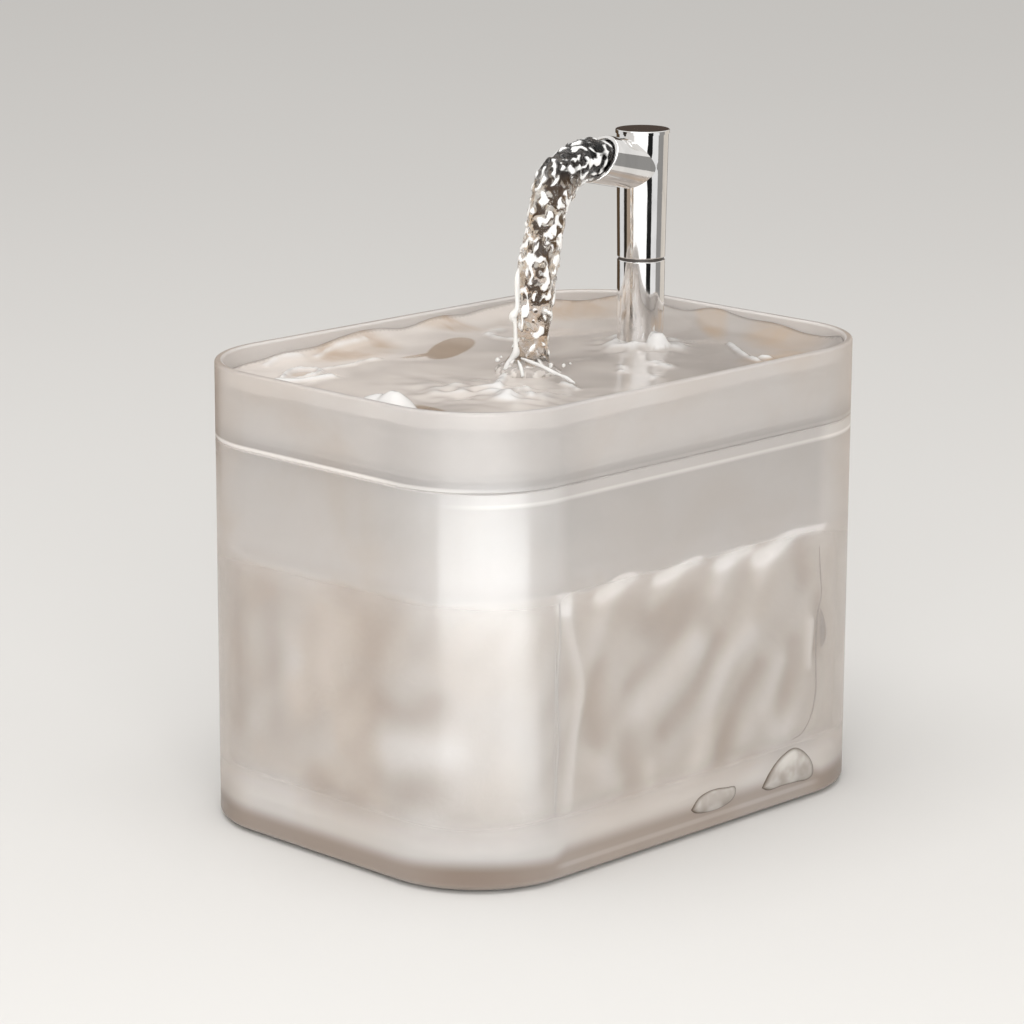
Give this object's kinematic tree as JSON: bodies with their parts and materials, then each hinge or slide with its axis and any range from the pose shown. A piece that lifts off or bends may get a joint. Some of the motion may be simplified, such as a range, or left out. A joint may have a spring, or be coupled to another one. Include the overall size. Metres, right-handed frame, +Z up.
{
  "type": "pet water fountain",
  "caption": "Free-standing pet drinking fountain: a frosted rounded tank with a lift-off drinking tray, a filter in its floor, a submersible pump and a swivelling chromed faucet.",
  "frame": {"origin": "centre of the footprint, on the surface that the feet stand on", "axes": "+Z up; Y along the body, with the faucet near the rear at +Y and pouring towards -Y; X across the body"},
  "size_m": [0.129, 0.181, 0.2012],
  "materials": {
    "frosted_plastic": "frosted, translucent",
    "white_plastic": "fine satin",
    "clear_plastic": "clear",
    "black_rubber": "matt",
    "clear_silicone": "translucent silicone",
    "white_foam": "open-cell foam",
    "white_cotton": "needled felt",
    "amber_resin": "fine beads",
    "black_carbon": "granules",
    "chrome": "polished chrome plating",
    "spring_steel": "bare spring steel",
    "white_ceramic": "fired ceramic",
    "ferrite": "sintered ferrite",
    "core_steel": "stacked laminations",
    "copper_wire": "enamelled copper wire",
    "circuit_board": "solder mask",
    "black_epoxy": "cast epoxy"
  },
  "bodies": {
    "tank_body": {"tank": "frosted_plastic", "tank_feet": "black_rubber", "cable_grommet": "black_rubber", "pump_casing": "white_plastic", "suction_cups": "clear_silicone", "volute_cover": "white_plastic", "shaft_bushes": "black_rubber", "impeller_shaft": "white_ceramic", "stator_core": "core_steel", "stator_coils": "copper_wire", "driver_board": "circuit_board", "motor_potting": "black_epoxy", "pump_gland": "black_rubber", "intake_cover": "white_plastic", "intake_foam": "white_foam", "outlet_hose": "clear_silicone"},
    "tray_body": {"tray": "frosted_plastic", "riser_pipe": "clear_plastic", "spigot_o_ring": "black_rubber", "faucet_column": "chrome", "column_bush": "white_plastic", "swivel_washer": "white_plastic", "retaining_clip": "spring_steel"},
    "head_body": {"faucet_head": "chrome", "head_o_ring": "black_rubber", "head_cap": "chrome"},
    "basket_body": {"filter_basket": "white_plastic"},
    "cartridge_body": {"cartridge_shell": "white_plastic", "filter_foam": "white_foam", "resin_bed": "amber_resin", "carbon_bed": "black_carbon", "cotton_pad": "white_cotton"},
    "grate_body": {"filter_grate": "white_plastic"},
    "rotor_body": {"impeller": "white_plastic", "rotor_magnet": "ferrite"},
    "shutter_body": {"flow_shutter": "white_plastic"}
  },
  "joints": [
    {"name": "tray_lift", "type": "slide", "parent": "tank_body", "child": "tray_body", "axis": [0, 0, 1], "range_m": [0, 0.06]},
    {"name": "head_swivel", "type": "hinge", "parent": "tray_body", "child": "head_body", "pos_m": [0, 0.045, 0.1615], "axis": [0, 0, 1], "range_deg": [-90, 90]},
    {"name": "basket_lift", "type": "slide", "parent": "tray_body", "child": "basket_body", "axis": [0, 0, 1], "range_m": [0, 0.04]},
    {"name": "cartridge_lift", "type": "slide", "parent": "basket_body", "child": "cartridge_body", "axis": [0, 0, 1], "range_m": [0, 0.035]},
    {"name": "grate_lift", "type": "slide", "parent": "cartridge_body", "child": "grate_body", "axis": [0, 0, 1], "range_m": [0, 0.015]},
    {"name": "impeller_spin", "type": "hinge", "parent": "tank_body", "child": "rotor_body", "pos_m": [0, 0.045, 0.0329], "axis": [0, 1, 0], "continuous": true},
    {"name": "shutter_turn", "type": "hinge", "parent": "tank_body", "child": "shutter_body", "pos_m": [0, 0.0282, 0.0329], "axis": [0, -1, 0], "range_deg": [0, 45]}
  ]
}
